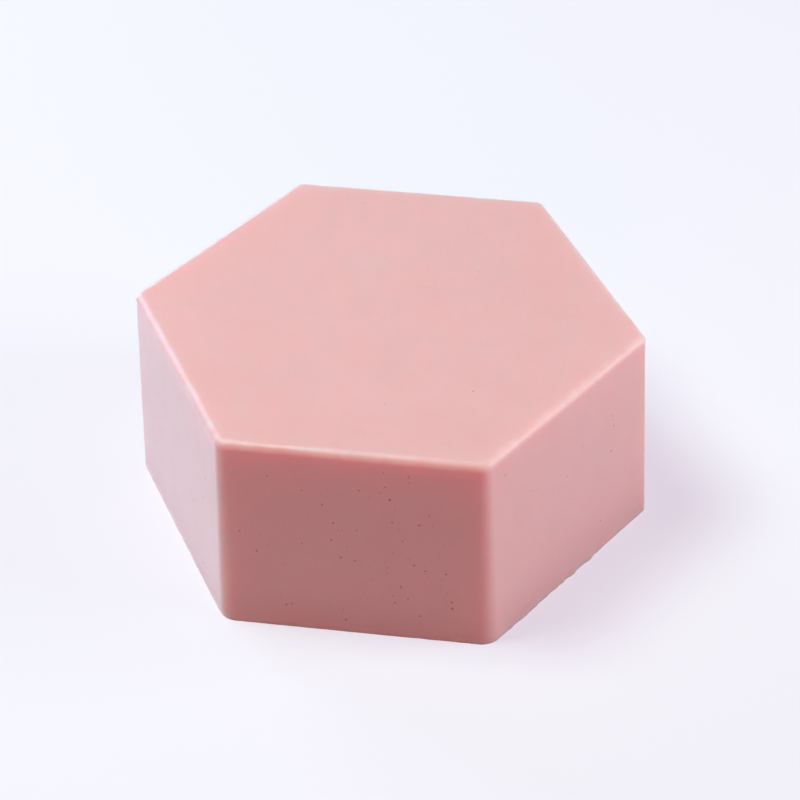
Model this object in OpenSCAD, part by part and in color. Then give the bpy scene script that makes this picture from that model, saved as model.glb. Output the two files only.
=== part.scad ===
// Hexagonal soap mould, standing mouth down, with the bar of soap that was cast in it.
//
// The mould is one silicone casting: a thick closed end and six thick side walls round a
// hexagonal cavity. The bar fills the cavity up to the rim. Turned over, the rim and the
// bar's poured face lie on the table, and the mould pulls straight up off the bar.
//
// Frame: millimetres, +Z up, Z = 0 at the rim, Z axis through the middle of the hexagon,
// two of its flats facing -Y and +Y and two of its corners on the X axis.

/* [Soap bar] */
// Width of the bar across its flats, at the face cast against the cavity floor
bar_flats = 60; // [40:1:90]
// Height of the bar
bar_h = 30; // [15:0.5:50]
// Radius of the bar's upright corners, at its cast face
bar_corner_r = 1.6; // [1:0.1:4]
// Radius of the edge round the bar's cast face
bar_edge_r = 0.8; // [0.3:0.1:1]

/* [Silicone mould] */
// Thickness of the side walls
wall_t = 7; // [4:0.5:12]
// Thickness of the closed end
floor_t = 6.8; // [3:0.1:12]
// Radius of the mould's upright corners
block_corner_r = 1.8; // [1.2:0.1:4]
// Radius, at the rim, of the two upright corners on the -Y side, which run out rounder
front_corner_r = 3.6; // [2:0.1:8]
// Radius of the edge round the closed end
block_edge_r = 0.9; // [0.3:0.1:1.2]

/* [Casting] */
// Draft of every upright face, inside and outside, in degrees
draft = 1.55; // [0.5:0.05:4]
// Gap that the soap's shrinkage leaves between bar and cavity
release_gap = 0.3; // [0.2:0.05:0.6]

/* [Hidden] */

// A multiple of 12, so that each corner's arc ends exactly on the flats' tangent lines.
$fn = 36;
flats_count = 6;
overcut = 1;
sliver = 0.01;
silicone_pink = [0.89, 0.66, 0.65];
soap_blush = [0.95, 0.80, 0.76];

// The cavity is the bar, grown by the release gap on its sides and at its cast face.
cavity_depth = bar_h + release_gap;
cavity_flats = bar_flats + 2 * release_gap;
cavity_corner_r = bar_corner_r + release_gap;
cavity_edge_r = bar_edge_r + release_gap;

// The outside follows the cavity: a wall thick round its mouth, a floor thick above it.
block_h = cavity_depth + floor_t;
rim_flats = widened(cavity_flats, cavity_depth) + 2 * wall_t;
block_flats = widened(rim_flats, -block_h);

// The radii of the six corners, anticlockwise from the one on +X.
cavity_corners = even_corners(cavity_corner_r);
bar_corners = even_corners(bar_corner_r);
block_corners = even_corners(block_corner_r);
rim_corners = concat([for (corner = [0 : 3]) block_corner_r], [for (corner = [4, 5]) front_corner_r]);

// Width across flats after the faces have run down by drop at the draft angle.
function widened(flats, drop) = flats + 2 * drop * tan(draft);

// The same radius for each corner.
function even_corners(r) = [for (corner = [0 : flats_count - 1]) r];

// Puts its children, one disc of radius $corner_r, in each corner of a hexagon of that width.
module at_corners(flats, corners) {
    for (corner = [0 : flats_count - 1]) {
        $corner_r = corners[corner];
        rotate(corner * 360 / flats_count)
            translate([(flats / 2 - $corner_r) / cos(180 / flats_count), 0, 0])
                children();
    }
}

// Disc whose upper edge is rounded, with its top at Z = 0.
module rounded_disc(r, edge_r) {
    translate([0, 0, -edge_r])
        rotate_extrude() {
            square([r - edge_r, edge_r]);
            translate([r - edge_r, 0])
                intersection() {
                    circle(edge_r);
                    square(edge_r);
                }
        }
}

// Drafted hexagonal block from Z = -below up to Z = height, widening downwards at the draft
// angle. top_flats, top_corners and edge_r are its sizes at the top, and base_corners are the
// radii of its corners at Z = 0.
module drafted_block(top_flats, height, top_corners, base_corners, edge_r, below = 0) {
    shoulder_flats = widened(top_flats, edge_r);
    foot_flats = widened(top_flats, height + below);
    foot_corners = base_corners + (base_corners - top_corners) * below / height;
    hull() {
        translate([0, 0, height])
            at_corners(shoulder_flats, top_corners)
                rounded_disc($corner_r, edge_r);
        translate([0, 0, -below])
            at_corners(foot_flats, foot_corners)
                cylinder(r = $corner_r, h = sliver);
    }
}

module silicone_mould() {
    color(silicone_pink)
        difference() {
            drafted_block(block_flats, block_h, block_corners, rim_corners, block_edge_r);
            drafted_block(cavity_flats, cavity_depth, cavity_corners, cavity_corners,
                          cavity_edge_r, below = overcut);
        }
}

module soap_bar() {
    color(soap_blush)
        drafted_block(bar_flats, bar_h, bar_corners, bar_corners, bar_edge_r);
}

silicone_mould();
soap_bar();
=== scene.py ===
"""A hexagonal silicone soap mould, standing mouth down over the bar of soap that was cast in it."""

import math

import bpy
import numpy as np
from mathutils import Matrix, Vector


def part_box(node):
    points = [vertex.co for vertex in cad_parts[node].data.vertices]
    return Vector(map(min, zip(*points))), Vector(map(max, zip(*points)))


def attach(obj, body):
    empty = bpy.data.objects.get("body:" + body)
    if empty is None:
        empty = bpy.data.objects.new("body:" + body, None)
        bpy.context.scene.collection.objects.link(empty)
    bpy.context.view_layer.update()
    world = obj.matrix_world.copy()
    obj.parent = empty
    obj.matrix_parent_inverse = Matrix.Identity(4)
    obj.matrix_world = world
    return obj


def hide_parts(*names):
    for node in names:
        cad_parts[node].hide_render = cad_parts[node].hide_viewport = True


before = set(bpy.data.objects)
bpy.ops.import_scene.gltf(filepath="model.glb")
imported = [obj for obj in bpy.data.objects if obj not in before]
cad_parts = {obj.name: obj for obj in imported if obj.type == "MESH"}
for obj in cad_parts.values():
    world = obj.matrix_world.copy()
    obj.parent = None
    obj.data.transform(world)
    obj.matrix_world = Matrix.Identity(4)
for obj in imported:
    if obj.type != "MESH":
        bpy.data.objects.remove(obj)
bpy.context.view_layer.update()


# ---------------------------------------------------------------------------------------------
# The silicone mould
# One pour of pink silicone round a hexagonal master, in a hexagonal frame. The closed end and the
# walls took a smooth skin from the frame, with small air pits where bubbles lay against it, and
# the rim was trimmed by hand, so its outer edge is nicked. The mould stands on that rim.
# ---------------------------------------------------------------------------------------------
MM = 0.001
SIXTH = math.radians(60)
HALF_SIXTH = math.radians(30)

DRAFT = math.radians(1.55)
BLOCK_CORNER_R = 1.8 * MM
FRONT_CORNER_R = 3.6 * MM
CLOSED_EDGE_R = 1.25 * MM
RELEASE_GAP = 0.3 * MM
BAR_CORNER_R = 1.6 * MM
BAR_EDGE_R = 0.8 * MM

# The closed end's middle, from the rim's: the soft block leans a little.
LEAN = np.array([-0.31, -0.67, 0.0]) * MM

# How much further out the front face stands at the closed end than its draft would put it.
UPRIGHT_FRONT = 0.33 * MM

# The front corners' extra radius at the closed end, as a share of that at the rim.
END_SHARE = 1 / 3

mould_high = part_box("silicone_mould")[1]
bar_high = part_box("soap_bar")[1]
mould_h = mould_high.z
rim_flats = 2 * mould_high.y
bar_foot_flats = 2 * bar_high.y
bar_h = bar_high.z


def hexagon_columns(per_flat, per_corner):
    """The columns of a hexagonal skin, as three arrays: corner, slide and heading.

    Across a corner, the heading (the way that the column faces) turns by a sixth of a circle
    and the slide stays 0. Along the flat that follows, the heading stays and the slide goes
    from 0 to 1.
    """
    corner = np.repeat(np.arange(6), per_corner + per_flat)
    slide = np.concatenate([np.zeros(per_corner), np.arange(per_flat) / per_flat])
    turned = np.concatenate([np.arange(per_corner) / per_corner, np.ones(per_flat)]) - 0.5
    return corner, np.tile(slide, 6), (corner + np.tile(turned, 6)) * SIXTH


def hexagon_ring(columns, flats, corner_r, front_extra):
    """Rings of a hexagon, flats wide across its flats, with rounded corners.

    The radius is corner_r, and front_extra more at the two corners on the -Y side. The middle of
    a corner's arc lies (flats / 2 - radius) / cos 30 from the axis. A point is its radius along
    its heading from the middle of its arc, and on a flat both the middle and the radius have
    slid from one corner's towards the next one's. The sizes are columns with one value a ring.
    """
    corner, slide, heading = columns
    here = corner_r + front_extra * np.isin(corner, (4, 5))
    ahead = corner_r + front_extra * np.isin(corner, (3, 4))
    here_reach = (flats / 2 - here) / math.cos(HALF_SIXTH) * (1 - slide)
    ahead_reach = (flats / 2 - ahead) / math.cos(HALF_SIXTH) * slide
    radius = here * (1 - slide) + ahead * slide
    x = here_reach * np.cos(corner * SIXTH) + ahead_reach * np.cos((corner + 1) * SIXTH)
    y = here_reach * np.sin(corner * SIXTH) + ahead_reach * np.sin((corner + 1) * SIXTH)
    return x + radius * np.cos(heading), y + radius * np.sin(heading)


def profile(*stretches):
    """Rings as one array with a row each: width across flats, corner radius, height, and how
    much larger the radius of the two front corners is, which a stretch may leave out as 0."""
    return np.vstack([np.column_stack(np.broadcast_arrays(*s, *[0.0] * (4 - len(s)))) for s in stretches])


def disc(flats, corner_r, height, rings, lip):
    """A flat hexagonal end, from near its middle out to its edge, with one more ring lip inside it."""
    scale = np.append(np.arange(1, rings + 1) / (rings + 1) * (1 - 2 * lip / flats), 1 - 2 * lip / flats)
    return flats * scale, corner_r * scale, np.full(rings + 1, height)


def rounded_edge(flats, corner_r, height, edge_r, steps):
    """A quarter round under a flat end at height: from the end's edge down to the upright face.

    flats and corner_r are those of the upright face edge_r below the end. At an angle a above
    level, the ring is edge_r * (1 - cos a) further in and edge_r * sin a higher.
    """
    angle = np.linspace(math.pi / 2, 0, steps + 1)
    inset = edge_r * (1 - np.cos(angle))
    return flats - 2 * inset, corner_r - inset, height - edge_r + edge_r * np.sin(angle)


def drafted(flats_at_foot, corner_r, heights, front_extra=0.0, shoulder_z=1.0):
    """An upright face: its width shrinks with the draft, and the front corners' extra radius
    falls evenly from front_extra at Z = 0 to END_SHARE of it at shoulder_z."""
    flats = flats_at_foot - 2 * heights * math.tan(DRAFT)
    return flats, corner_r, heights, front_extra * (1 - (1 - END_SHARE) * heights / shoulder_z)


def wander(count, knots, rng):
    """A closed random line of count values from -1 to 1: knots random values, joined by half waves."""
    value = rng.uniform(-1, 1, knots)
    at = np.arange(count) * knots / count
    before = at.astype(int)
    blend = (1 - np.cos(math.pi * (at - before))) / 2
    return value[before] * (1 - blend) + value[(before + 1) % knots] * blend


def swell(points, length, rng, waves=12):
    """A smooth random height from about -1 to 1 at each point: the mean of plane sine waves that
    run in random directions, with wavelengths round length."""
    direction = rng.normal(size=(waves, 3))
    direction /= np.linalg.norm(direction, axis=1, keepdims=True)
    turns = 2 * math.pi / (length * rng.uniform(0.6, 1.6, (waves, 1)))
    phase = rng.uniform(0, 2 * math.pi, waves)
    return np.sin(points @ (direction * turns).T + phase).sum(axis=-1) / math.sqrt(waves)


def skin_faces(rows, count):
    """Quads between neighbouring rows of a skin that closes on itself, count columns round."""
    upper = (np.arange(rows - 1)[:, None] * count + np.arange(count)).ravel()
    along = (np.arange(rows - 1)[:, None] * count + (np.arange(count) + 1) % count).ravel()
    return np.column_stack([upper, upper + count, along + count, along])


# A pit takes the place of two by two quads. These are the steps, in rows and columns from the
# middle of those quads, to the eight points round them, in the order that faces outwards.
AROUND = np.array([(-1, -1), (0, -1), (1, -1), (1, 0), (1, 1), (0, 1), (-1, 1), (-1, 0)])


def sink_pits(points, depth_of, count, row, column, radius, depth, rng):
    """Cuts round pits into a skin, each in place of the two by two quads round (row, column).

    Three rings of eight points are added to each: one just outside the pit's edge, the edge,
    and one part of the way down its wall. The middle point drops to the pit's floor. Returns
    the points, their share of painted pit shade (0 on the skin, up to 1 on the floor of a pit),
    the added faces as quads and triangles, and which of the skin's quads they replace.
    """
    middle = row * count + column
    edge = middle[:, None] + AROUND[:, 0] * count + AROUND[:, 1]
    down = points[middle + count] - points[middle - count]
    across = points[middle + 1] - points[middle - 1]
    down_len = np.linalg.norm(down, axis=1, keepdims=True)
    across -= down * (across * down).sum(axis=1, keepdims=True) / down_len ** 2
    across_len = np.linalg.norm(across, axis=1, keepdims=True)
    down, across = down / down_len, across / across_len
    out = np.cross(down, across)
    room = np.minimum(down_len, across_len)[:, 0] / 2
    radius = np.minimum(radius, 0.5 * room)
    spare = np.maximum(room - 1.5 * radius, 0)
    shift = rng.uniform(-1, 1, (2, len(row))) * spare
    centre = points[middle] + down * shift[0][:, None] + across * shift[1][:, None]
    angle = np.arctan2(AROUND[:, 1], AROUND[:, 0])
    squash = rng.uniform(0.75, 1.1, (2, len(row), 1))
    ring = (down[:, None] * (squash[0] * np.cos(angle))[..., None]
            + across[:, None] * (squash[1] * np.sin(angle))[..., None]) * radius[:, None, None]
    sunk = out[:, None] * depth[:, None, None]
    centres = centre[:, None]
    rings = [centres + ring * 1.3, centres + ring, centres + ring * 0.7 - sunk * 0.65]
    points = points.copy()
    points[middle] = centre - sunk[:, 0]
    depth_of = depth_of.copy()
    # How dark each pit is painted: painted shade inside the pit, darker for larger pits.
    pit_shade = rng.uniform(0.45, 1, len(row)) * np.clip(radius / radius.max(), 0.6, 1)
    depth_of[middle] = pit_shade
    start = len(points)
    size = len(row) * 8
    number = start + np.arange(3 * size).reshape(3, len(row), 8)
    points = np.vstack([points, *[r.reshape(-1, 3) for r in rings]])
    pit_shade = np.repeat(pit_shade, 8)
    depth_of = np.concatenate([depth_of, np.zeros(size), pit_shade * 0.5, pit_shade])
    loops = [edge, number[0], number[1], number[2]]
    quads = [np.stack([a, np.roll(a, -1, 1), np.roll(b, -1, 1), b], axis=2).reshape(-1, 4)
             for a, b in zip(loops, loops[1:])]
    floor = np.repeat(middle[:, None], 8, axis=1)
    triangles = np.stack([number[2], np.roll(number[2], -1, 1), floor], axis=2).reshape(-1, 3)
    gone = ((row[:, None] + [-1, -1, 0, 0]) * count + column[:, None] + [-1, 0, -1, 0]).ravel()
    return points, depth_of, np.vstack(quads), triangles, gone


def closed_skin(name, rings, columns, pit_sites, shape, rng):
    """A closed mesh from rings, which run from the middle of one end to the middle of the other.

    shape(grid) takes the points, one row a ring, and returns them moved, with named marks: arrays
    that give each point a share from 0 to 1 and become attributes for the material. pit_sites
    gives the rows, columns, radii and depths of the pits, which become the attribute "pit".
    """
    count = len(columns[0])
    x, y = hexagon_ring(columns, rings[:, :1], rings[:, 1:2], rings[:, 3:4])
    grid = np.stack([x, y, np.broadcast_to(rings[:, 2:3], x.shape)], axis=2)
    grid, marks = shape(grid)
    points = grid.reshape(-1, 3)
    quads = skin_faces(len(rings), count)
    points, pit, pit_quads, pit_triangles, gone = sink_pits(
        points, np.zeros(len(points)), count, *pit_sites, rng)
    quads = np.vstack([np.delete(quads, gone, axis=0), pit_quads])
    first = np.arange(count)
    last = (len(rings) - 1) * count + first
    start = len(points)
    points = np.vstack([points, points[first].mean(axis=0), points[last].mean(axis=0)])
    triangles = np.vstack([
        pit_triangles,
        np.column_stack([np.full(count, start), first, np.roll(first, -1)]),
        np.column_stack([np.full(count, start + 1), np.roll(last, -1), last]),
    ])
    mesh = bpy.data.meshes.new(name)
    mesh.from_pydata(points.tolist(), [], quads.tolist() + triangles.tolist())
    mesh.shade_smooth()
    for label, value in {"pit": pit, **marks}.items():
        padded = np.append(value.ravel(), np.zeros(len(points) - value.size))
        mesh.attributes.new(label, "FLOAT", "POINT").data.foreach_set("value", padded.astype(np.float32))
    piece = bpy.data.objects.new(name, mesh)
    bpy.context.scene.collection.objects.link(piece)
    return piece


class Wire:
    """An output of a shader node. Arithmetic on wires adds Math nodes, and node() adds any other."""

    def __init__(self, output):
        self.output = output

    def node(self, kind, settings=None, inputs=None, output=0):
        """A new node: its settings are set first, then the values or wires of its inputs."""
        made = self.output.id_data.nodes.new(kind)
        for name, value in (settings or {}).items():
            setattr(made, name, value)
        for name, value in (inputs or {}).items():
            if isinstance(value, Wire):
                made.id_data.links.new(value.output, made.inputs[name])
            else:
                made.inputs[name].default_value = value
        return Wire(made.outputs[output])

    def maths(self, operation, first, second):
        """A Math node on two wires or numbers."""
        return self.node("ShaderNodeMath", {"operation": operation}, {0: first, 1: second})

    def __add__(self, other):
        return self.maths("ADD", self, other)

    def __radd__(self, other):
        return self.maths("ADD", other, self)

    def __mul__(self, other):
        return self.maths("MULTIPLY", self, other)

    def __rmul__(self, other):
        return self.maths("MULTIPLY", other, self)

    def mark(self, name):
        """The mesh's own mark of that name, from 0 to 1."""
        return self.node("ShaderNodeAttribute", {"attribute_name": name}, None, output="Fac")

    def noise(self, size, detail=2.0):
        """Even noise from 0 to 1 at these coordinates, with lumps about size metres across."""
        return self.node("ShaderNodeTexNoise", None, {"Vector": self, "Scale": 1 / size, "Detail": detail})

    def ramp(self, low, high, at_low=0.0, at_high=1.0):
        """A smooth step from at_low, at low, to at_high, at high."""
        return self.node("ShaderNodeMapRange", {"interpolation_type": "SMOOTHSTEP"}, {
            "Value": self, "From Min": low, "From Max": high, "To Min": at_low, "To Max": at_high})

    def tint(self, start, end):
        """A colour that goes from start to end as this wire goes from 0 to 1."""
        return self.node("ShaderNodeMix", {"data_type": "RGBA"}, {0: self, 6: start, 7: end}, output=2)

    def dots(self, spacing, radius, share):
        """Round dots of that radius, scattered through space with that spacing between them.

        Only that share of them shows at all, and a surface cuts only a few of those.
        """
        cell = self.node("ShaderNodeTexVoronoi", None, {
            "Vector": self, "Scale": 1 / spacing, "Randomness": 1.0})
        chance = Wire(cell.output.node.outputs["Color"]).node("ShaderNodeSeparateColor")
        edge = radius / spacing
        return cell.ramp(edge * 0.6, edge * 1.4, 1.0, 0.0) * chance.ramp(share, share - 0.02)


def new_material(name):
    """An empty Principled material: the material, its shader node and its Object coordinates."""
    material = bpy.data.materials.new(name)
    material.use_nodes = True
    shader = material.node_tree.nodes["Principled BSDF"]
    place = Wire(material.node_tree.nodes.new("ShaderNodeTexCoord").outputs["Object"])
    return material, shader, place


def wire_up(shader, **inputs):
    """Links wires to the shader's inputs, named with _ for a space."""
    for name, wire in inputs.items():
        shader.id_data.links.new(wire.output, shader.inputs[name.replace("_", " ")])


def pink_silicone():
    """Opaque pink silicone with a satin skin: light goes a few millimetres into it and comes out
    redder, so its shaded edges glow. Pigment clouds, faint flecks and dusty specks vary its
    colour. Painted shade darkens its pits. A painted highlight lights the dusty specks on faces
    that look up. The trimmed rim is paler where the knife cut it, with painted highlight where
    its flash catches the light, and the closed edge is paler from rubbing, with a painted
    highlight along it. The lowest 11 mm are painted darker and redder, as shade near the table,
    and the last 2 mm brighter and redder, with a faint red glow: painted bounce light for the
    light that the table gives back to it."""
    material, shader, place = new_material("pink_silicone")
    shader.inputs["Subsurface Weight"].default_value = 1.0
    shader.inputs["Subsurface Radius"].default_value = (1.0, 0.32, 0.29)
    shader.inputs["Subsurface Scale"].default_value = 6.5 * MM
    shader.inputs["IOR"].default_value = 1.47
    shader.inputs["Sheen Weight"].default_value = 0.40
    shader.inputs["Sheen Roughness"].default_value = 0.35
    shader.inputs["Coat Roughness"].default_value = 0.30
    shader.inputs["Emission Strength"].default_value = 1.0

    clouds = place.noise(18 * MM, 3.0)
    blotches = place.noise(5 * MM, 2.0)
    grain = place.noise(0.5 * MM, 2.0)
    height_up = place.node("ShaderNodeSeparateXYZ", None, {0: place}, output="Z")
    flecks = place.dots(3.2 * MM, 0.35 * MM, 0.45) * blotches.ramp(0.4, 0.6)
    # Dusty specks that lie on the skin. On faces that look up they also carry a painted highlight.
    dust_and_glint = place.dots(3.2 * MM, 0.28 * MM, 0.20)
    # Paler along the closed end's edge: partly rubbing, partly painted highlight along the rounded edge.
    worn_and_highlit = place.mark("worn_and_highlit").ramp(0.0, 1.0) * grain.ramp(0.25, 0.75, 0.6, 1.0)

    colour = clouds.ramp(0.35, 0.65).tint((0.803, 0.416, 0.400, 1), (0.812, 0.424, 0.412, 1))
    colour = (blotches.ramp(0.35, 0.75) * 0.07).tint(colour, (0.70, 0.31, 0.31, 1))
    # Painted shade: the lowest 11 mm of the walls darker and redder, for the shade near the table.
    colour = height_up.ramp(0.0, 11 * MM, 0.24, 0.0).tint(colour, (0.70, 0.26, 0.27, 1))
    # Painted bounce light: the last 1.8 mm of the foot brighter and redder, for the light that the table
    # gives back.
    colour = height_up.ramp(0.0, 1.8 * MM, 0.9, 0.0).tint(colour, (1.0, 0.46, 0.42, 1))
    colour = (flecks * 0.25).tint(colour, (0.62, 0.28, 0.28, 1))
    colour = (dust_and_glint * 0.8).tint(colour, (0.95, 0.90, 0.88, 1))
    # Painted shade: the pits darker towards their floors, for the shade inside them.
    colour = (place.mark("pit") * 0.6).tint(colour, (0.30, 0.07, 0.08, 1))
    # The trimmed rim: paler where cut, with painted highlight along its flash.
    colour = (place.mark("trimmed").ramp(0.0, 1.0) * 0.7).tint(colour, (0.95, 0.58, 0.48, 1))
    colour = (worn_and_highlit * 0.36).tint(colour, (0.91, 0.67, 0.66, 1))

    # Painted bounce light: a faint red glow over the lowest 4 mm, for the light that the table gives back.
    glow = height_up.ramp(0.0, 4 * MM, 0.05, 0.0) + height_up.ramp(0.0, 1 * MM, 0.045, 0.0)
    glow = glow.tint((0, 0, 0, 1), (1, 0.04, 0.03, 1))
    normal = place.node("ShaderNodeNewGeometry", None, None, output="Normal")
    level = normal.node("ShaderNodeSeparateXYZ", None, {0: normal}, output="Z").ramp(0.5, 0.9)
    # Painted highlight: the dusty specks on faces that look up glow faintly white, as if lit from above.
    glow = (dust_and_glint * level * 0.25).tint(glow, (1, 1, 1, 1))

    height = grain * 0.3 + blotches * 0.7
    bump = height.node("ShaderNodeBump", None, {"Height": height, "Strength": 0.5, "Distance": 0.03 * MM},
                       output="Normal")
    wire_up(shader, Base_Color=colour, Roughness=0.28 + blotches * 0.10 + worn_and_highlit * 0.12,
            Coat_Weight=worn_and_highlit * 0.04, Emission_Color=glow, Normal=bump)
    return material


# The mould's rings, from the middle of the closed end to its edge and down the walls to the rim.
END_RINGS = 26
EDGE_STEPS = 7
WALL_RINGS = 57
FOOT_RINGS = 5
LIP = 0.25 * MM

WALL_TOP = END_RINGS + 1 + EDGE_STEPS + 1
WALL_FOOT = WALL_TOP + WALL_RINGS + FOOT_RINGS

# The knife worked on this last bit of the wall.
TRIM_H = 1.2 * MM


def mould_rings():
    """The mould's rings: closed end, outer edge, walls, rim, cavity wall, cavity floor."""
    shoulder_z = mould_h - CLOSED_EDGE_R
    shoulder_flats = rim_flats - 2 * shoulder_z * math.tan(DRAFT)
    end_flats = shoulder_flats - 2 * CLOSED_EDGE_R
    end_corner_r = BLOCK_CORNER_R - CLOSED_EDGE_R
    wall_z = np.concatenate([[shoulder_z - LIP], np.linspace(shoulder_z - 0.8 * MM, TRIM_H, WALL_RINGS),
                             np.array([0.8, 0.5, 0.28, 0.12, 0.0]) * MM])
    cavity_h = bar_h + RELEASE_GAP
    cavity_r = BAR_CORNER_R + RELEASE_GAP
    cavity_edge_r = BAR_EDGE_R + RELEASE_GAP
    mouth_flats = bar_foot_flats + 2 * RELEASE_GAP + 2 * RELEASE_GAP * math.tan(DRAFT)
    ceiling_flats = mouth_flats - 2 * (cavity_h - cavity_edge_r) * math.tan(DRAFT)
    rim_share = np.array([0.03, 0.15, 0.35, 0.6, 0.85, 0.98, 1.0])
    cavity_z = np.concatenate([[0.2 * MM], np.linspace(0.8 * MM, cavity_h - cavity_edge_r - 0.4 * MM, 16)])
    cavity_edge = rounded_edge(ceiling_flats, cavity_r, cavity_h, cavity_edge_r, 5)
    ceiling = disc(ceiling_flats - 2 * cavity_edge_r, cavity_r - cavity_edge_r, cavity_h, 10, 0.3 * MM)
    rim_extra = FRONT_CORNER_R - BLOCK_CORNER_R
    end_extra = rim_extra * END_SHARE
    return profile(
        (*disc(end_flats, end_corner_r, mould_h, END_RINGS, LIP), end_extra),
        (*rounded_edge(shoulder_flats, BLOCK_CORNER_R, mould_h, CLOSED_EDGE_R, EDGE_STEPS), end_extra),
        drafted(rim_flats, BLOCK_CORNER_R, wall_z, rim_extra, shoulder_z),
        (rim_flats + (mouth_flats - rim_flats) * rim_share,
         BLOCK_CORNER_R + (cavity_r - BLOCK_CORNER_R) * rim_share, 0.0, rim_extra * (1 - rim_share)),
        drafted(mouth_flats, cavity_r, cavity_z),
        [part[::-1] for part in cavity_edge],
        [part[::-1] for part in ceiling],
    )


MOULD_FLAT_COLUMNS = 76
MOULD_CORNER_COLUMNS = 12

# The flats, anticlockwise from the one that faces +X and +Y. The fifth, which faces -Y, was cast
# against a part of the frame that held many bubbles.
FRONT = 4
PITS = [34, 26, 30, 24, 130, 34]
END_PITS = 16

# How much of each flat's foot flares out, where the knife pushed the silicone instead of cutting it.
FLARED = [0.8, 0, 0.8, 0.35, 0, 1.0]


def pit_places(brick, rng):
    """Rows and columns of the mould's pits, on every second row and column of a flat. A row may
    start one column further on than its neighbours, as brick says, so that no grid shows."""
    flat_starts = np.arange(6) * (MOULD_FLAT_COLUMNS + MOULD_CORNER_COLUMNS) + MOULD_CORNER_COLUMNS
    sites = []
    for flat, pits in enumerate(PITS):
        row = WALL_TOP + 3 + 2 * rng.integers(0, 27, pits)
        column = flat_starts[flat] + 3 + 2 * rng.integers(0, 35, pits)
        if flat == FRONT:
            lower = rng.uniform(size=pits) < 0.3
            row[lower] = WALL_TOP + 3 + 2 * rng.integers(11, 24, lower.sum())
            column[lower] = flat_starts[flat] + 3 + 2 * rng.integers(16, 34, lower.sum())
        sites.append(np.column_stack([row, column + brick[row]]))
    sites.append(np.column_stack([
        7 + 2 * rng.integers(0, 9, END_PITS),
        flat_starts[rng.integers(0, 6, END_PITS)] + 3 + 2 * rng.integers(0, 35, END_PITS)]))
    return np.unique(np.vstack(sites), axis=0)


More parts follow.
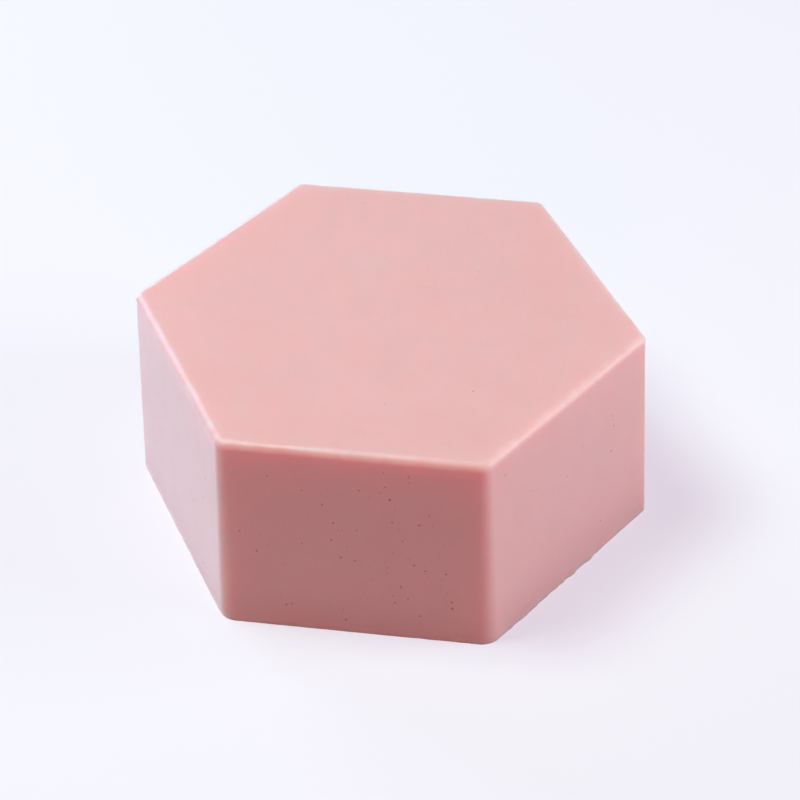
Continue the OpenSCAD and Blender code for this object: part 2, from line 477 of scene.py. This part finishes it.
def make_mould():
    """The mould's skin: its rings carried round its columns, weathered, with its pits cut in."""
    rng = np.random.default_rng(7)
    rings = mould_rings()
    columns = hexagon_columns(MOULD_FLAT_COLUMNS, MOULD_CORNER_COLUMNS)
    corner, slide, heading = columns
    count = len(corner)

    def weathered(grid):
        """Faces that lie a hair off true, small dents along the closed end's edge, the soft
        block's lean, and a rim edge that the knife bit into or pushed out.

        The lean grows evenly with height. The front face's own shift does too, and fades evenly
        to nothing at the axis. A bite or a flare is largest at Z = 0 and ends at TRIM_H.
        """
        grid = grid.copy()
        out = np.stack([np.cos(heading), np.sin(heading), np.zeros(count)], axis=1)
        wave = 0.02 * MM * (swell(grid, 22 * MM, rng) - 1.5)
        wall = slice(WALL_TOP, WALL_FOOT - FOOT_RINGS)
        grid[wall] += out * wave[wall][..., None]
        grid[:END_RINGS, :, 2] += np.minimum(wave[:END_RINGS], 0) * 0.7
        dent = np.clip(wander(count, 190, rng) + 0.6 * wander(count, 420, rng) - 0.55, 0, 1)
        edge = slice(END_RINGS, WALL_TOP + 1)
        softness = np.sin(np.linspace(0, math.pi, EDGE_STEPS + 3))[:, None, None]
        grid[edge] -= (out + [0, 0, 1]) * dent[:, None] * softness * 0.07 * MM

        upper = slice(0, WALL_FOOT + 1)
        rise = grid[upper, :, 2:] / mould_h
        spread = np.minimum(rings[upper, 0] / rings[END_RINGS, 0], 1)[:, None, None]
        to_front = np.clip(-2 * np.sin(heading) - 1, 0, 1)[:, None]
        grid[upper] += LEAN * rise - [0, UPRIGHT_FRONT, 0] * to_front * rise * spread

        ragged = (0.5 * wander(count, 70, rng) + 0.45 * wander(count, 180, rng)
                  + 0.4 * wander(count, 400, rng))
        on_flat = slide > 0
        bitten = np.interp(corner + on_flat * 0.5, [0.0, 0.5, 1.0, 2.0, 2.5, 4.0, 6.0],
                           [0.2, 0, 0.3, 0.3, 0, 0.2, 0.2])
        inwards = np.clip(np.minimum(slide, 1 - slide) * on_flat * 12, 0, 1)
        flared = inwards * np.choose(corner, FLARED)
        bite = np.clip(ragged + 0.05, 0, 1) * bitten
        flare = np.clip(ragged + 0.25, 0, 1) * flared
        foot = slice(WALL_FOOT - FOOT_RINGS, WALL_FOOT + 1)
        lowness = 1 - rings[foot, 2][:, None] / TRIM_H
        grid[foot] += out * ((flare * lowness * 0.32 - bite * lowness ** 2 * 0.3) * MM)[..., None]

        # Pale specks along the rim: crumbs of flash, with painted highlight where they catch the light.
        chips_and_glints = np.clip(wander(count, 300, rng) * 1.5 - 0.6, 0, 1)
        # How pale the rim is painted: the cut silicone's own paler colour where the knife cut or pushed
        # it, and painted highlight where its flash catches the light.
        pale = np.clip(0.1 + 0.9 * np.maximum(flare, bite * 3) + chips_and_glints * (0.3 + 0.7 * (flared == 0)), 0, 1)
        trimmed = np.zeros(grid.shape[:2])
        trimmed[WALL_FOOT - 4:WALL_FOOT + 1] = pale * np.array([0.1, 0.3, 0.6, 0.9, 1.0])[:, None]
        # Along the closed end's edge: paler from rubbing and a painted highlight, stronger in stretches.
        rubbed_and_highlit = np.clip(0.65 + 0.15 * wander(count, 40, rng) + 0.25 * wander(count, 260, rng), 0, 1)
        worn_and_highlit = np.zeros(grid.shape[:2])
        across_edge = np.array([0.1, 0.3, 0.6, 0.9, 1, 1, 1, 1, 0.9, 0.6, 0.2, 0.1])
        worn_and_highlit[END_RINGS - 1:END_RINGS - 1 + len(across_edge)] = rubbed_and_highlit * across_edge[:, None]
        return grid, {"trimmed": trimmed, "worn_and_highlit": worn_and_highlit}

    brick = rng.integers(0, 2, len(rings))
    row, column = pit_places(brick, rng).T
    radius = rng.uniform(0.13, 0.24, len(row)) * MM
    radius[rng.uniform(size=len(row)) < 0.45] *= 0.65
    depth = radius * rng.uniform(0.6, 1.3, len(row))
    return closed_skin("mould_casting", rings, columns, (row, column, radius, depth), weathered, rng)


mould = make_mould()
mould.data.materials.append(pink_silicone())
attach(mould, "mould")
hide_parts("silicone_mould")


# ---------------------------------------------------------------------------------------------
# The bar of soap
# A bar poured into the mould and left to set. Its sides took the cavity's smooth skin, and its
# poured face, which is on the table now, set a little hollow with a faint ridge round it.
# ---------------------------------------------------------------------------------------------
def blush_soap():
    """Pale pink soap, waxy and a little glossier than the mould, with a powdery bloom in patches."""
    material, shader, place = new_material("blush_soap")
    shader.inputs["Subsurface Weight"].default_value = 1.0
    shader.inputs["Subsurface Radius"].default_value = (1.0, 0.45, 0.38)
    shader.inputs["Subsurface Scale"].default_value = 4.0 * MM
    shader.inputs["IOR"].default_value = 1.46
    clouds = place.noise(22 * MM, 4.0)
    bloom = place.noise(9 * MM, 5.0)
    grain = place.noise(0.4 * MM, 2.0)
    colour = clouds.ramp(0.3, 0.7).tint((0.88, 0.59, 0.54, 1), (0.92, 0.66, 0.61, 1))
    colour = (bloom.ramp(0.52, 0.72) * 0.35).tint(colour, (0.95, 0.87, 0.83, 1))
    # Painted shade: the bar's pits darker towards their floors, for the shade inside them.
    colour = (place.mark("pit") * 0.5).tint(colour, (0.55, 0.28, 0.24, 1))
    height = grain * 0.5 + bloom * 0.5
    bump = height.node("ShaderNodeBump", None, {"Height": height, "Strength": 0.5, "Distance": 0.03 * MM},
                       output="Normal")
    wire_up(shader, Base_Color=colour, Roughness=0.30 + bloom.ramp(0.45, 0.7) * 0.25, Normal=bump)
    return material


BAR_END_RINGS = 16
BAR_EDGE_STEPS = 6
BAR_WALL_RINGS = 28
POURED_RINGS = 12
BAR_WALL_TOP = BAR_END_RINGS + 1 + BAR_EDGE_STEPS + 1

BAR_FLAT_COLUMNS = 50
BAR_CORNER_COLUMNS = 8
BAR_WALL_PITS = 60
BAR_END_PITS = 14
HOLLOW = 0.4 * MM
FOOT_R = 0.12 * MM


def make_bar():
    """The bar's skin, made as the mould's is: rings carried round columns, with pits cut in."""
    rng = np.random.default_rng(11)
    shoulder_z = bar_h - BAR_EDGE_R
    shoulder_flats = bar_foot_flats - 2 * shoulder_z * math.tan(DRAFT)
    end_flats = shoulder_flats - 2 * BAR_EDGE_R
    wall_z = np.concatenate([[shoulder_z - LIP],
                             np.linspace(shoulder_z - 1.1 * MM, 1.0 * MM, BAR_WALL_RINGS),
                             np.array([0.5, 0.2, 0.05]) * MM])
    poured_flats = bar_foot_flats - 2 * FOOT_R
    poured_r = BAR_CORNER_R - FOOT_R
    poured = disc(poured_flats, poured_r, 0.0, POURED_RINGS, 0.5 * MM)
    rings = profile(
        disc(end_flats, BAR_CORNER_R - BAR_EDGE_R, bar_h, BAR_END_RINGS, LIP),
        rounded_edge(shoulder_flats, BAR_CORNER_R, bar_h, BAR_EDGE_R, BAR_EDGE_STEPS),
        drafted(bar_foot_flats, BAR_CORNER_R, wall_z),
        (poured_flats, poured_r, 0.0),
        [part[::-1] for part in poured],
    )
    columns = hexagon_columns(BAR_FLAT_COLUMNS, BAR_CORNER_COLUMNS)
    heading = columns[2]

    def set_shape(grid):
        """A hair of shrinkage in the faces, and the poured face's hollow."""
        grid = grid.copy()
        out = np.stack([np.cos(heading), np.sin(heading), np.zeros(len(heading))], axis=1)
        wave = 0.02 * MM * (swell(grid, 16 * MM, rng) - 1.5)
        wall = slice(BAR_WALL_TOP, BAR_WALL_TOP + 1 + BAR_WALL_RINGS)
        grid[wall] += out * wave[wall][..., None]
        grid[:BAR_END_RINGS, :, 2] += np.minimum(wave[:BAR_END_RINGS], 0) * 0.7
        face = grid[-POURED_RINGS - 1:]
        share = np.hypot(face[:, :, 0], face[:, :, 1]) / (bar_foot_flats / 2)
        face[:, :, 2] += HOLLOW * np.clip(1 - share ** 4, 0, 1)
        return grid, {}

    pits = BAR_WALL_PITS + BAR_END_PITS
    flat_starts = np.arange(6) * (BAR_FLAT_COLUMNS + BAR_CORNER_COLUMNS) + BAR_CORNER_COLUMNS
    row = np.concatenate([BAR_WALL_TOP + 3 + 2 * rng.integers(0, 12, BAR_WALL_PITS),
                          5 + 2 * rng.integers(0, 5, BAR_END_PITS)])
    column = flat_starts[rng.integers(0, 6, pits)] + 3 + 2 * rng.integers(0, 22, pits)
    row, column = np.unique(np.column_stack([row, column]), axis=0).T
    radius = rng.uniform(0.10, 0.24, len(row)) * MM
    return closed_skin("bar_casting", rings, columns, (row, column, radius, radius), set_shape, rng)


bar = make_bar()
bar.data.materials.append(blush_soap())
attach(bar, "bar")
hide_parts("soap_bar")


# ---------------------------------------------------------------------------------------------
# The table and the light
# A plain pale table, wide and even, under soft lamps: a high one on the left, low ones on the
# right and behind on the left, and a weak red one in front, for the warm light of a room.
# ---------------------------------------------------------------------------------------------
TABLE_HALF = 3.0
# The table's top lies a hair under Z = 0, so that no face of a piece falls in with it.
TABLE_DROP = 0.01 * MM


def pale_table():
    """A matt pale table that looks brighter than it lights the mould: seen straight or in a
    reflection it has a glow of its own, and in soft bounces it has none."""
    material, shader, place = new_material("pale_table")
    material.node_tree.nodes.remove(shader)
    path = material.node_tree.nodes.new("ShaderNodeLightPath")
    straight = Wire(path.outputs["Is Camera Ray"])
    mirrored = Wire(path.outputs["Is Glossy Ray"])
    seen = straight.maths("MAXIMUM", straight, mirrored)
    cloth = place.noise(300 * MM, 2.0)
    matt = cloth.node("ShaderNodeBsdfDiffuse", None, {
        "Color": cloth.tint((0.525, 0.49, 0.525, 1), (0.535, 0.50, 0.535, 1))})
    faint = cloth.node("ShaderNodeBsdfDiffuse", None, {
        "Color": cloth.tint((0.315, 0.297, 0.266, 1), (0.321, 0.303, 0.272, 1))})
    glow = cloth.node("ShaderNodeEmission", None, {"Color": (0.912, 0.842, 1.0, 1), "Strength": 0.635})
    bright = glow.node("ShaderNodeAddShader", None, {0: faint, 1: glow})
    mixed = seen.node("ShaderNodeMixShader", None, {0: seen, 1: matt, 2: bright})
    output = material.node_tree.nodes["Material Output"]
    material.node_tree.links.new(mixed.output, output.inputs["Surface"])
    return material


corners = np.array([(-1, -1, 0), (1, -1, 0), (1, 1, 0), (-1, 1, 0)]) * TABLE_HALF - [0, 0, TABLE_DROP]
table_mesh = bpy.data.meshes.new("table")
table_mesh.from_pydata(corners.tolist(), [], [(0, 1, 2, 3)])
table = bpy.data.objects.new("table", table_mesh)
bpy.context.scene.collection.objects.link(table)
table.data.materials.append(pale_table())


def soft_lamp(name, azimuth, elevation, distance, size, watts, colour):
    """A square lamp that faces the mould's middle. Azimuth 0 is on the -Y side and 90 on the +X side."""
    light = bpy.data.lights.new(name, "AREA")
    light.shape = "SQUARE"
    light.size = size
    light.energy = watts
    light.color = colour
    lamp = bpy.data.objects.new(name, light)
    a, e = math.radians(azimuth), math.radians(elevation)
    middle = np.array([0, 0, mould_h / 2])
    away = np.array([math.sin(a) * math.cos(e), -math.cos(a) * math.cos(e), math.sin(e)])
    lamp.location = middle + away * distance
    lamp.rotation_euler = (math.pi / 2 - e, 0, a)
    bpy.context.scene.collection.objects.link(lamp)


soft_lamp("key_left", 281, 66, 0.70, 0.28, 5.05, (0.759, 1.0, 0.956))
soft_lamp("low_left", 230, 15, 0.70, 0.35, 4.17, (0.501, 0.647, 1.0))
soft_lamp("right", 94, 21, 0.70, 0.40, 4.13, (0.785, 0.935, 1.0))
soft_lamp("warm_front", 5, 20, 0.90, 0.50, 1.35, (1.0, 0.0, 0.0))

# The room is there to be seen. The lamps give the light.
ROOM_SEEN = 0.99
ROOM_LIGHT = 0.01

world = bpy.data.worlds.new("pale_room")
world.use_nodes = True
background = world.node_tree.nodes["Background"]
background.inputs["Color"].default_value = (0.90, 0.88, 0.96, 1)
seen = Wire(world.node_tree.nodes.new("ShaderNodeLightPath").outputs["Is Camera Ray"])
strength = seen * (ROOM_SEEN - ROOM_LIGHT) + ROOM_LIGHT
world.node_tree.links.new(strength.output, background.inputs["Strength"])
bpy.context.scene.world = world
bpy.context.scene.view_settings.view_transform = "Standard"


# ---------------------------------------------------------------------------------------------
# The camera
# A long lens from well above, almost square to one flat of the mould.
# ---------------------------------------------------------------------------------------------
CAMERA_AZIMUTH = math.radians(8.93)
CAMERA_ELEVATION = math.radians(37.88)
CAMERA_ROLL = math.radians(-0.48)
CAMERA_DISTANCE = 480.9 * MM
CAMERA_RIGHT = 1.45 * MM
CAMERA_UP = 0.07 * MM
LENS_LENGTH = 127.78

lens = bpy.data.cameras.new("camera")
lens.sensor_width = 36.0
lens.lens = LENS_LENGTH
camera = bpy.data.objects.new("camera", lens)
back = np.array([math.sin(CAMERA_AZIMUTH) * math.cos(CAMERA_ELEVATION),
                 -math.cos(CAMERA_AZIMUTH) * math.cos(CAMERA_ELEVATION),
                 math.sin(CAMERA_ELEVATION)])
level = np.cross(-back, [0, 0, 1])
level /= np.linalg.norm(level)
upright = np.cross(level, -back)
right = math.cos(CAMERA_ROLL) * level + math.sin(CAMERA_ROLL) * upright
up = math.cos(CAMERA_ROLL) * upright - math.sin(CAMERA_ROLL) * level
spot = np.array([0, 0, mould_h / 2]) + back * CAMERA_DISTANCE + right * CAMERA_RIGHT + up * CAMERA_UP
matrix = np.eye(4)
matrix[:3, 0], matrix[:3, 1], matrix[:3, 2], matrix[:3, 3] = right, up, back, spot
camera.matrix_world = matrix.T.tolist()
bpy.context.scene.collection.objects.link(camera)
bpy.context.scene.camera = camera
